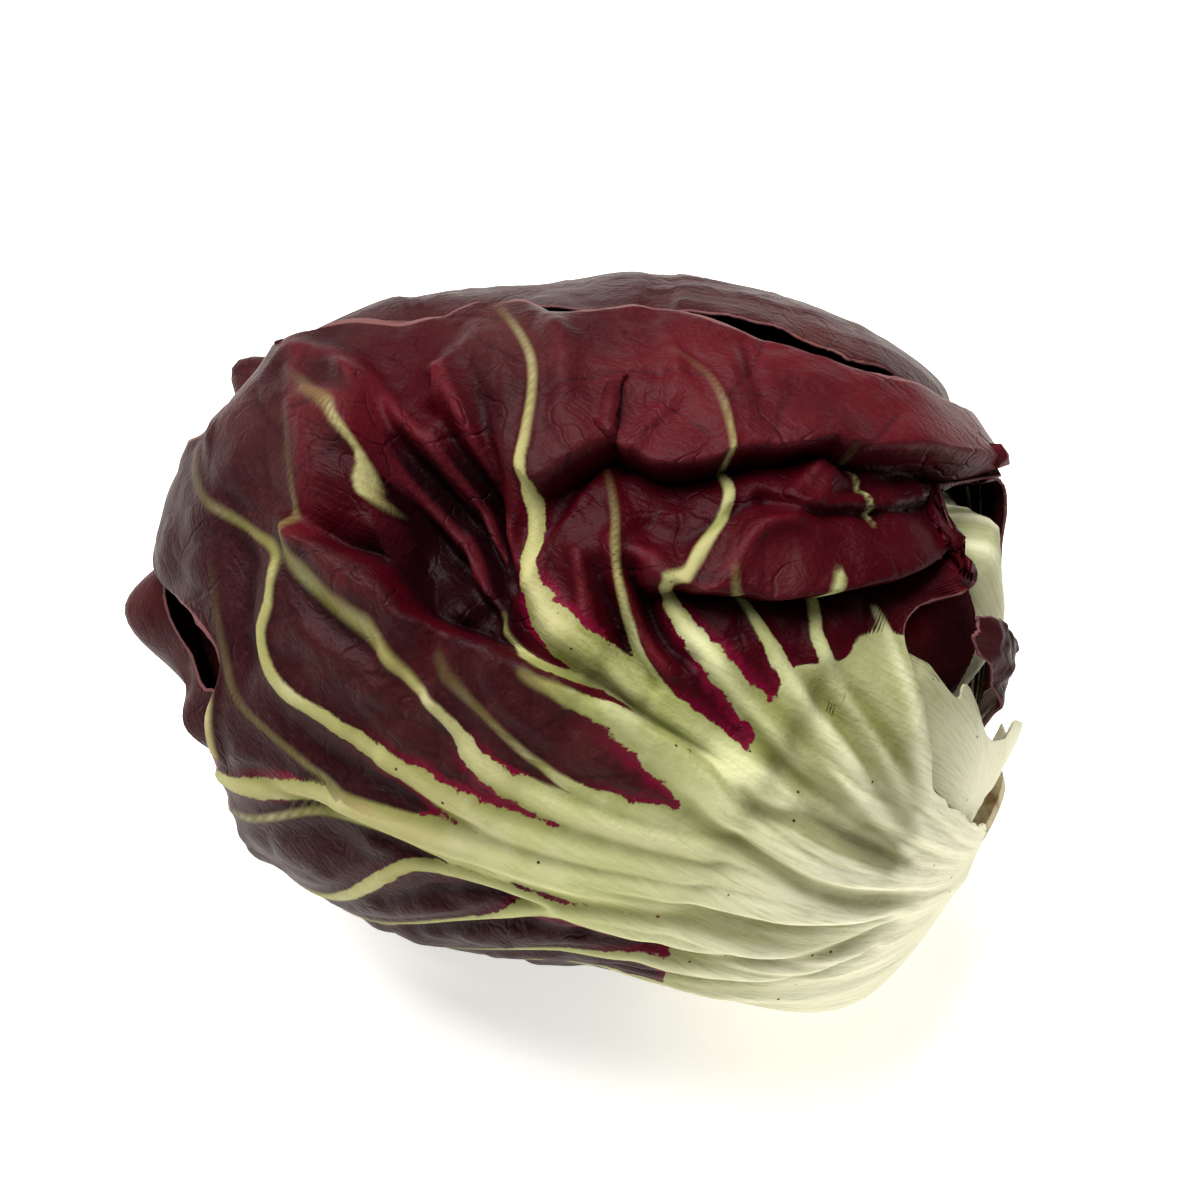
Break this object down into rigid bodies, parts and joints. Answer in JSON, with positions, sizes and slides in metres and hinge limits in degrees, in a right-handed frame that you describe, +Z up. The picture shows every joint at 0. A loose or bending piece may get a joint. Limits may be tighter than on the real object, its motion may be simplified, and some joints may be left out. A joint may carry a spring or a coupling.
{
  "type": "radicchio head",
  "caption": "Head of red radicchio lying on its side: cut stem, dense heart and loose wrapper leaves with pale ribs and waved edges.",
  "frame": {"origin": "bottom centre of the whole head's box, on the surface that the head rests on", "axes": "+Z up; +X along the head's length, towards its cut stem; -Y towards the front leaf"},
  "size_m": [0.131, 0.1048, 0.1032],
  "materials": {
    "outer_lamina": "dark maroon leaf, satin, with pale ribs",
    "inner_lamina": "wine red inner leaf, satin",
    "pale_leaf_base": "cream to pale green leaf base, satin",
    "stem": "cut cream stem, matt"
  },
  "bodies": {
    "root": {"stump": "stem", "heart": "inner_lamina", "front_leaf": "outer_lamina", "under_leaf": "outer_lamina", "torn_leaf": "pale_leaf_base", "back_leaf": "outer_lamina", "side_leaf": "outer_lamina", "crumpled_leaf": "outer_lamina", "crown_leaf": "outer_lamina", "inner_leaf_1": "inner_lamina", "inner_leaf_2": "inner_lamina", "inner_leaf_3": "inner_lamina"}
  },
  "joints": []
}
